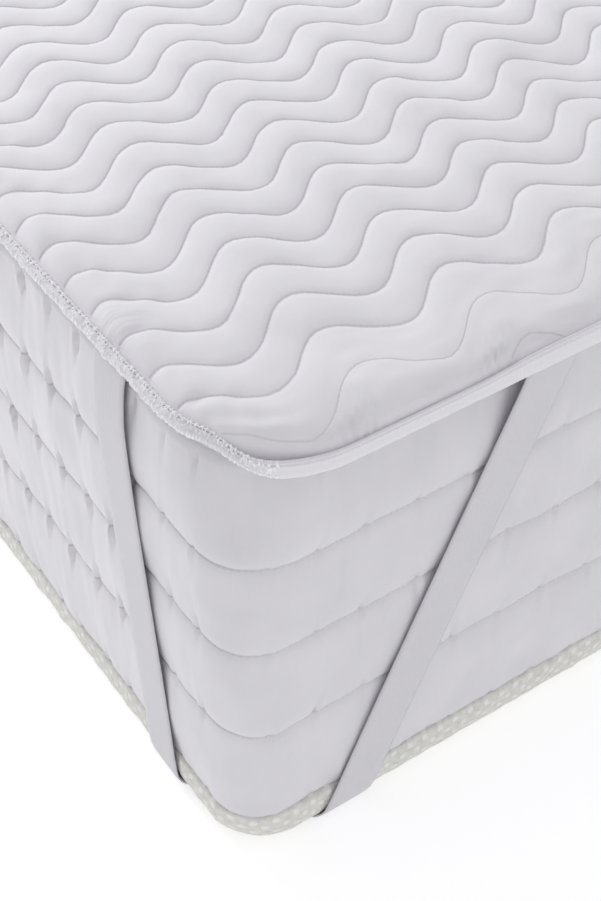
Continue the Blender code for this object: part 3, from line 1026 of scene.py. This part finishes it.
@dataclass
class CornerStrap:
    """One elastic strap: a ribbon with thin woven edges, smooth along its run."""

    run: StrapRun
    number: int
    mirror: tuple
    steps: int = 6
    across: int = 12

    def build(self) -> tuple[bpy.types.Object, float]:
        """Makes the strap.

        The ribbon's points lie on straight lines between its two edges. Each is moved along the
        ribbon's own normal by half the thickness, which falls off at the woven edges.

        Returns:
            The piece, and the strap's length in metres.
        """
        edges = spline_rows(self.run.edges(), self.steps)
        edges[..., 2] = np.maximum(edges[..., 2], self.run.low)
        part = np.linspace(0.0, 1.0, self.across)[None, :, None]
        middle = edges[:, :1] * (1 - part) + edges[:, 1:] * part
        plan = self.run.plan
        sign = np.array((*self.mirror, 1.0))
        middle = sign * (np.array((plan.half_x, plan.half_y, 0.0))
                         - middle * np.array((1, 1, -1)))
        run_way = np.gradient(middle, axis=0)
        side_way = np.gradient(middle, axis=1)
        normal = np.cross(run_way, side_way)
        normal /= np.linalg.norm(normal, axis=-1, keepdims=True)
        thin = 1 - 0.55 * np.abs(2 * part - 1) ** 10
        half = normal * self.run.thickness / 2 * thin
        loop = np.concatenate((middle + half, (middle - half)[:, ::-1]), 1)
        travelled = np.linalg.norm(np.diff(middle.mean(1), axis=0), axis=-1)
        wide = np.concatenate((part[0, :, 0], part[0, ::-1, 0], (0.0,))) * self.run.width
        skin = Skin()
        numbers = skin.add_points(loop)
        skin.add_tube(numbers, pattern_places(wide[None, :], running_total(travelled)[:, None]))
        return skin.to_object(f"elastic_strap_{self.number}"), float(travelled.sum())


@dataclass
class BaseBand:
    """Lower band of the mattress, in dotted felt, with room below it for the straps."""

    border: MattressBorder
    strap: StrapRun
    profile: tuple = ((-0.0110, 0.0), (-0.0045, 0.0012), (0.0000, 0.0045), (0.0030, 0.0090),
                      (0.0046, 0.0145), (0.0050, 0.0210), (0.0048, 0.0270), (0.0040, 0.0300),
                      (0.0012, 0.0313))
    zone: float = 0.115          # the corner's stretch, wide enough for the innermost ring
    inner_rings: tuple = (-0.105, -0.080, -0.068, -0.058, -0.049, -0.041, -0.034, -0.027,
                          -0.020)
    channel_depth: float = 0.0024
    channel_margin: float = 0.003
    column_step: float = 0.0045
    ripple: float = 0.00035

    def channel(self, points: np.ndarray) -> np.ndarray:
        """How much each point lies over a strap's run: 1 inside its width, easing to 0.

        Args:
            points: points in plan, the last axis x, y.

        Returns:
            The share of the channel's depth at each point.
        """
        plan = self.strap.plan
        from_corner = np.array((plan.half_x, plan.half_y)) - np.abs(points)
        ends = np.array(((self.strap.foot_long, -0.02), (-0.02, self.strap.foot_short)))
        under = self.strap.under()[..., :2].mean(1)
        path = np.concatenate((ends[:1], under, ends[1:]))
        path = spline_rows(path, 4)
        nearest = np.full(points.shape[:-1], 1.0)
        for spot in path:
            nearest = np.minimum(nearest, np.hypot(*(from_corner - spot).transpose(2, 0, 1)))
        half = self.strap.width / 2
        return 1 - smooth_step(nearest, half + self.channel_margin, half + 0.010)

    def build(self) -> bpy.types.Object:
        """Makes the band with the mattress's underside, one closed skin.

        Returns:
            The piece.
        """
        plan = replace(self.border.plan, zone=self.zone)
        station, along = plan.stations(self.column_step)
        side = spline_rows(np.array(self.profile), 3)
        inner = np.array([(offset, 0.0) for offset in self.inner_rings])
        offset, height = np.concatenate((inner, side)).T
        height = np.maximum(height, 0.0)
        radius = self.border.radius_at(height)
        radius = np.where(offset < -0.012, np.clip(0.030 - offset, 0.036, plan.zone), radius)
        shown = soft_window(height, (0.004, 0.012), (0.027, 0.030))
        uneven = self.ripple * shown[:, None] * soft_noise(along[None, :-1], height[:, None], 0.02, 41)
        points = plan.ring(station[None, :], radius[:, None], offset[:, None] + uneven,
                           height[:, None])
        lift = self.channel(points[..., :2]) * self.channel_depth
        low = height[:, None] < 0.010
        points[..., 2] = np.where(low, np.maximum(points[..., 2], lift), points[..., 2])
        skin = Skin()
        numbers = skin.add_points(points)
        skin.add_tube(numbers, pattern_places(along[None, :], (offset + height)[:, None]))
        return skin.to_object("dotted_base_band")


# The finishes


def linear(colour: str) -> tuple[float, float, float, float]:
    """Turns an sRGB hex value into the linear colour that a shader takes.

    Args:
        colour: six hex digits after a hash sign.

    Returns:
        Red, green, blue and full opacity.
    """
    parts = [int(colour[start:start + 2], 16) / 255 for start in (1, 3, 5)]
    return (*(part / 12.92 if part <= 0.04045 else ((part + 0.055) / 1.055) ** 2.4
              for part in parts), 1.0)


def add_node(tree: bpy.types.NodeTree, kind: str, settings: dict | None = None,
             links: dict | None = None) -> bpy.types.Node:
    """Adds a node, sets it up and links it.

    Args:
        tree: the node tree.
        kind: the node's type.
        settings: property name, or input name or number, to value.
        links: input name or number to the socket that feeds it.

    Returns:
        The node.
    """
    node = tree.nodes.new(kind)
    for name, value in (settings or {}).items():
        if isinstance(name, str) and hasattr(node, name):
            setattr(node, name, value)
        else:
            node.inputs[name].default_value = value
    for name, socket in (links or {}).items():
        tree.links.new(socket, node.inputs[name])
    return node


def calculate(tree: bpy.types.NodeTree, operation: str,
              *terms: float | bpy.types.NodeSocket) -> bpy.types.NodeSocket:
    """Adds a maths node.

    Args:
        tree: the node tree.
        operation: what it works out.
        terms: a number or a socket for each input, in order.

    Returns:
        The result's socket.
    """
    numbers = {place: term for place, term in enumerate(terms) if isinstance(term, float)}
    sockets = {place: term for place, term in enumerate(terms) if place not in numbers}
    return add_node(tree, "ShaderNodeMath", {"operation": operation, **numbers}, sockets).outputs[0]


def remap(tree: bpy.types.NodeTree, value: bpy.types.NodeSocket, source: tuple, target: tuple,
          shape: str = "LINEAR") -> bpy.types.NodeSocket:
    """Adds a node that turns one range of values into another.

    Args:
        tree: the node tree.
        value: the socket to read.
        source: low and high end of the values read.
        target: what they become.
        shape: LINEAR, or SMOOTHSTEP for an eased step.

    Returns:
        The result's socket.
    """
    ends = dict(zip(("From Min", "From Max", "To Min", "To Max"), source + target))
    return add_node(tree, "ShaderNodeMapRange", {"interpolation_type": shape, **ends},
                    {"Value": value}).outputs["Result"]


def stored(tree: bpy.types.NodeTree, name: str) -> bpy.types.NodeSocket:
    """The socket of a value that Skin.to_object keeps on each point."""
    return add_node(tree, "ShaderNodeAttribute", {"attribute_name": name}).outputs["Fac"]


def sine(tree: bpy.types.NodeTree, where: bpy.types.NodeSocket, axis: str,
         pitch: float) -> bpy.types.NodeSocket:
    """A sine from -1 to 1 along one pattern coordinate, its pitch in millimetres."""
    split = add_node(tree, "ShaderNodeSeparateXYZ", None, {0: where})
    turn = calculate(tree, "MULTIPLY", split.outputs[axis], 2 * math.pi / (pitch * MILLIMETRE))
    return calculate(tree, "SINE", turn)


@dataclass(frozen=True)
class ClothFinish:
    """A cloth: its colour, how it takes the light, and the relief that it was made with."""

    name: str
    colour: str
    shadow_colour: str           # painted shade in folds, seams and hollows, and random mottle; on felt, the felt between its dots
    relief: Relief
    roughness: float
    sheen: float
    thread: float                # spacing of the drawn threads, in millimetres
    depth: float                 # height of the relief, in millimetres
    ior: float = 1.46            # cotton and polyester fibre are both near this

    def material(self) -> bpy.types.Material:
        """Builds the node material.

        Returns:
            The material.
        """
        material = bpy.data.materials.new(self.name)
        material.use_nodes = True
        tree = material.node_tree
        tree.nodes.clear()
        where = add_node(tree, "ShaderNodeUVMap", {"uv_map": "cloth"}).outputs["UV"]
        relief, shade = self.pattern(tree, where)
        body = add_node(tree, "ShaderNodeTexCoord").outputs["Object"]
        mottle = add_node(tree, "ShaderNodeTexNoise", {"Scale": 28.0, "Detail": 3.0}, {"Vector": body})
        uneven = remap(tree, mottle.outputs["Fac"], (0.3, 0.7), (0.0, 0.12))
        # The pattern's painted shade and a random mottle both lean the colour towards the shadow
        # colour.
        dark = calculate(tree, "MAXIMUM", shade, uneven)
        mixed = add_node(tree, "ShaderNodeMix",
                         {"data_type": "RGBA", 6: linear(self.colour), 7: linear(self.shadow_colour)},
                         {0: dark})
        bump = add_node(tree, "ShaderNodeBump",
                        {"Strength": 1.0, "Distance": self.depth * MILLIMETRE}, {"Height": relief})
        shader = add_node(tree, "ShaderNodeBsdfPrincipled",
                          {"Roughness": self.roughness, "IOR": self.ior,
                           "Sheen Weight": self.sheen, "Sheen Roughness": 0.45},
                          {"Base Color": mixed.outputs[2], "Normal": bump.outputs["Normal"]})
        add_node(tree, "ShaderNodeOutputMaterial", None, {"Surface": shader.outputs["BSDF"]})
        return material

    def pattern(self, tree: bpy.types.NodeTree,
                where: bpy.types.NodeSocket) -> tuple[bpy.types.NodeSocket, bpy.types.NodeSocket]:
        """The relief's height and its shade.

        Args:
            tree: the node tree.
            where: pattern coordinates, in metres.

        Returns:
            Sockets for the height, about 0 to 1, and the share of the shadow colour.
        """
        makers = {
            Relief.PERCALE: self.percale,
            Relief.OVERLOCK: self.overlock,
            Relief.WEBBING: self.webbing,
            Relief.TICKING: self.ticking,
            Relief.DOTTED: self.dotted,
        }
        return makers[self.relief](tree, where)

    def stretched_noise(self, tree: bpy.types.NodeTree, where: bpy.types.NodeSocket,
                        along: float, across: float, detail: float = 2.0) -> bpy.types.NodeSocket:
        """Noise drawn out along the cloth or across it.

        Args:
            tree: the node tree.
            where: pattern coordinates, in metres.
            along: size of its grains along the first coordinate, in millimetres.
            across: the same along the second.
            detail: levels of finer grains.

        Returns:
            The noise's socket, from 0 to 1.
        """
        scale = (1 / (along * MILLIMETRE), 1 / (across * MILLIMETRE), 1.0)
        mapped = add_node(tree, "ShaderNodeMapping", {"Scale": scale}, {"Vector": where})
        noise = add_node(tree, "ShaderNodeTexNoise", {"Scale": 1.0, "Detail": detail},
                         {"Vector": mapped.outputs["Vector"]})
        return noise.outputs["Fac"]

    def stitches(self, tree: bpy.types.NodeTree, where: bpy.types.NodeSocket, pitch: float,
                 reach: float) -> tuple[bpy.types.NodeSocket, bpy.types.NodeSocket]:
        """Sewn line where the piece's stitch distance is small, with a thread that dips.

        Args:
            tree: the node tree.
            where: pattern coordinates, in metres.
            pitch: length of one stitch, in millimetres.
            reach: half width of the line, in millimetres.

        Returns:
            Sockets that are 1 on the line, and 1 where the thread shows on it.
        """
        line = remap(tree, stored(tree, "stitch_gap"), (0.0, reach * MILLIMETRE), (1.0, 0.0),
                     "SMOOTHSTEP")
        dash = remap(tree, sine(tree, where, "X", pitch), (-0.9, -0.3), (0.0, 1.0))
        return line, calculate(tree, "MULTIPLY", line, dash)

    def percale(self, tree: bpy.types.NodeTree, where: bpy.types.NodeSocket) -> tuple:
        """Plain weave, wrinkled across the channels where the stitches gather it, with painted shade
        along the stitch lines.
        """
        line, thread = self.stitches(tree, where, 3.0, 1.3)
        near_line = remap(tree, stored(tree, "stitch_gap"), (0.0, 0.010), (0.65, 0.16), "SMOOTHSTEP")
        wrinkle = self.stretched_noise(tree, where, 5.5, 22.0)
        weave = self.stretched_noise(tree, where, self.thread, self.thread, 0.0)
        folds = calculate(tree, "MULTIPLY", near_line, wrinkle)
        cloth = calculate(tree, "MULTIPLY_ADD", weave, 0.05, folds)
        groove = calculate(tree, "MULTIPLY_ADD", line, -0.9, cloth)
        pleat = self.stretched_noise(tree, where, 34.0, 4.2, 1.0)
        pleats = calculate(tree, "MULTIPLY", stored(tree, "gather_and_seam_shade"), pleat)
        pulled = calculate(tree, "MULTIPLY_ADD", pleats, 3.6, groove)
        height = calculate(tree, "MULTIPLY_ADD", thread, 0.20, pulled)
        # Painted shade along the stitch line, standing in for the shadow in its groove.
        return height, calculate(tree, "MULTIPLY", line, 0.32)

    def overlock(self, tree: bpy.types.NodeTree, where: bpy.types.NodeSocket) -> tuple:
        """Fluffy loops side by side, with small hollows between them that are darkened with painted
        shade.
        """
        loops = self.stretched_noise(tree, where, self.thread, 2.6 * self.thread, 2.0)
        return loops, remap(tree, loops, (0.30, 0.50), (0.25, 0.0))

    def webbing(self, tree: bpy.types.NodeTree, where: bpy.types.NodeSocket) -> tuple:
        """Ribs along the band, each a sine across it, over a finer weft, with painted shade in the low
        places.
        """
        rib = calculate(tree, "MULTIPLY_ADD", sine(tree, where, "X", self.thread), 0.22, 0.3)
        weft = self.stretched_noise(tree, where, 2.4 * self.thread, 0.45 * self.thread, 1.0)
        height = calculate(tree, "MULTIPLY_ADD", weft, 0.6, rib)
        return height, remap(tree, height, (0.25, 0.60), (0.35, 0.0))

    def ticking(self, tree: bpy.types.NodeTree, where: bpy.types.NodeSocket) -> tuple:
        """Smooth knit with faint upright lines, sewn along seams that are darkened with painted shade,
        more of it on short sides.
        """
        line, thread = self.stitches(tree, where, 3.4, 1.6)
        knit = self.stretched_noise(tree, where, self.thread, 9.0 * self.thread, 1.0)
        slack = calculate(tree, "MULTIPLY", self.stretched_noise(tree, where, 14.0, 26.0), 0.55)
        cloth = calculate(tree, "MULTIPLY_ADD", knit, 0.08, slack)
        groove = calculate(tree, "MULTIPLY_ADD", line, -0.8, cloth)
        height = calculate(tree, "MULTIPLY_ADD", thread, 0.35, groove)
        # Painted shade in the seams: a little on every side, more on the short sides.
        painted_seam_shade = calculate(tree, "MULTIPLY_ADD", stored(tree, "gather_and_seam_shade"), 0.46, 0.14)
        return height, calculate(tree, "MULTIPLY", line, painted_seam_shade)

    def dotted(self, tree: bpy.types.NodeTree, where: bpy.types.NodeSocket) -> tuple:
        """Felt with rubber dots: the product of a sine each way, over felt's noise."""
        product = calculate(tree, "MULTIPLY", sine(tree, where, "X", self.thread),
                            sine(tree, where, "Y", self.thread))
        dots = remap(tree, product, (0.15, 0.65), (0.0, 1.0))
        felt = self.stretched_noise(tree, where, 1.6, 1.6, 3.0)
        height = calculate(tree, "MULTIPLY_ADD", dots, 0.7, felt)
        patches = self.stretched_noise(tree, where, 4.0, 4.0, 3.0)
        worn = remap(tree, patches, (0.30, 0.70), (1.0, 0.35))
        bare = calculate(tree, "MULTIPLY_ADD", dots, -0.85, 1.0)
        return height, calculate(tree, "MULTIPLY", worn, bare)


# Cotton percale over wadding, matt and slightly blue from its bleach. Its real threads are
# 0.3 mm apart, drawn at 1 mm so that they show.
PERCALE = ClothFinish("bleached_cotton_percale", "#E2E1E5", "#AFAEB4", Relief.PERCALE,
                      roughness=0.85, sheen=0.15, thread=1.0, depth=0.55)
# Fluffy textured polyester of the overlock stitch, the brightest white on the object.
BINDING = ClothFinish("overlocked_polyester_tape", "#DEDDE1", "#CFCFD3", Relief.OVERLOCK,
                      roughness=0.80, sheen=0.25, thread=1.3, depth=0.35)
THREAD = ClothFinish("textured_polyester_thread", "#F2F2F4", "#E6E6E9", Relief.OVERLOCK,
                     roughness=0.75, sheen=0.30, thread=0.8, depth=0.08)
# Knitted elastic, greyer than the cotton, with ribs where its rubber cores lie.
ELASTIC = ClothFinish("knitted_elastic_webbing", "#CFCED2", "#B2B2B7", Relief.WEBBING,
                      roughness=0.65, sheen=0.10, thread=1.5, depth=0.18)
# Satin knit ticking with a soft gloss.
TICKING = ClothFinish("satin_knit_ticking", "#D5D4D8", "#98989E", Relief.TICKING,
                      roughness=0.50, sheen=0.20, thread=0.9, depth=0.50)
# Grey-green felt with rubber dots that keeps the mattress from sliding.
FELT = ClothFinish("dotted_non_slip_felt", "#E6E6E3", "#CACAC4", Relief.DOTTED,
                   roughness=0.92, sheen=0.05, thread=11.5, depth=0.6)


def dress(piece: bpy.types.Object, finish: bpy.types.Material, slot: str, *nodes: str) -> None:
    """Gives a piece its material and body, and lets it stand for CAD nodes.

    Args:
        piece: the finished piece.
        finish: its material.
        slot: name of a material slot; not used.
        nodes: names of the CAD nodes that it replaces.
    """
    piece.data.materials.append(finish)
    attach(piece, BODY)
    if nodes:
        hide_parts(*nodes)
    log.info("%s: %d faces", piece.name, len(piece.data.polygons))


# The studio


@dataclass
class Studio:
    """Pale floor, soft light from behind on the left, and the photograph's camera."""

    camera_place: tuple = (-1.2142, -0.8993, 0.8359)
    heading: float = 55.80       # degrees from +X towards +Y
    dip: float = 43.95           # degrees below the horizon
    lens: float = 67.42          # on a 36 mm sensor, along the picture's long side
    floor_size: float = 14.0
    floor_colour: str = "#FAFAFA"
    floor_glow: float = 0.32     # a lit table, so that the ground stays white by the mattress
    sky_colour: str = "#FDFCFE"
    sky: float = 0.74
    # Name, place, what it faces, side in metres, watts
    lights: tuple = (("window", (-0.95, 1.75, 1.25), (-0.7, -0.1, 0.25), 1.0, 26.0),
                     ("fill", (1.4, -3.0, 1.5), (-0.3, -0.4, 0.2), 2.2, 8.0))

    def camera(self) -> None:
        """Adds the camera and makes it the scene's own."""
        data = bpy.data.cameras.new("camera")
        data.lens = self.lens
        data.sensor_width = 36.0
        camera = add_object("camera", data)
        camera.location = self.camera_place
        camera.rotation_euler = (math.radians(90 - self.dip), 0.0, math.radians(self.heading - 90))
        bpy.context.scene.camera = camera

    def floor(self) -> None:
        """Adds the plain floor."""
        mesh = bpy.data.meshes.new("studio_floor")
        half = self.floor_size / 2
        corners = [(-half, -half, 0.0), (half, -half, 0.0), (half, half, 0.0), (-half, half, 0.0)]
        mesh.from_pydata(corners, [], [(0, 1, 2, 3)])
        paint = bpy.data.materials.new("white_floor_paint")
        paint.use_nodes = True
        shader = paint.node_tree.nodes["Principled BSDF"]
        shader.inputs["Base Color"].default_value = linear(self.floor_colour)
        shader.inputs["Roughness"].default_value = 0.9
        shader.inputs["Emission Color"].default_value = linear("#FFFFFF")
        shader.inputs["Emission Strength"].default_value = self.floor_glow
        mesh.materials.append(paint)
        add_object("studio_floor", mesh)

    def area(self, name: str, place: tuple, target: tuple, size: float, power: float) -> None:
        """Adds a square soft light, white, that faces a target.

        Args:
            name: the light's name.
            place: where it stands.
            target: what it faces.
            size: length of its side, in metres.
            power: its power, in watts.
        """
        data = bpy.data.lights.new(name, "AREA")
        data.size, data.energy = size, power
        lamp = add_object(name, data)
        lamp.location = place
        lamp.rotation_euler = (Vector(target) - Vector(place)).to_track_quat("-Z", "Y").to_euler()

    def build(self) -> None:
        """Sets up the whole studio."""
        self.camera()
        self.floor()
        world = bpy.data.worlds.new("studio")
        world.use_nodes = True
        sky = world.node_tree.nodes["Background"]
        sky.inputs["Color"].default_value = linear(self.sky_colour)
        sky.inputs["Strength"].default_value = self.sky
        bpy.context.scene.world = world
        bpy.context.scene.view_settings.view_transform = "Standard"
        for light in self.lights:
            self.area(*light)


def main() -> None:
    """Builds every piece in order."""
    logging.basicConfig(level=logging.INFO, format="%(name)s: %(message)s")
    low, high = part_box("mattress_body")
    plan = Plan(half_x=(high.x - low.x) / 2 - CAD_BULGE, half_y=(high.y - low.y) / 2 - CAD_BULGE)
    edge = Edge()
    percale, tape, thread, elastic, ticking, felt = (
        finish.material() for finish in (PERCALE, BINDING, THREAD, ELASTIC, TICKING, FELT))

    pad = QuiltedPad(plan, edge).build()
    dress(pad, percale, "quilted_cotton", "quilted_pad")

    binding = EdgeBinding(plan, edge)
    dress(binding.tape_piece(), tape, "binding_tape", "edge_binding")
    dress(binding.thread_piece(), thread, "binding_tape")

    border = MattressBorder(plan)
    side = border.build()
    dress(side, ticking, "mattress_ticking", "mattress_body")

    run = StrapRun(plan)
    for number, mirror in enumerate(((-1, -1), (1, -1), (1, 1), (-1, 1)), start=1):
        strap, length = CornerStrap(run, number, mirror).build()
        dress(strap, elastic, "elastic_webbing", f"corner_strap_{number}")
        log.info("%s: %.3f m long", strap.name, length)

    base = BaseBand(border, run).build()
    dress(base, felt, "base_fabric", "mattress_base")

    Studio().build()


if __name__ == "__main__":
    main()
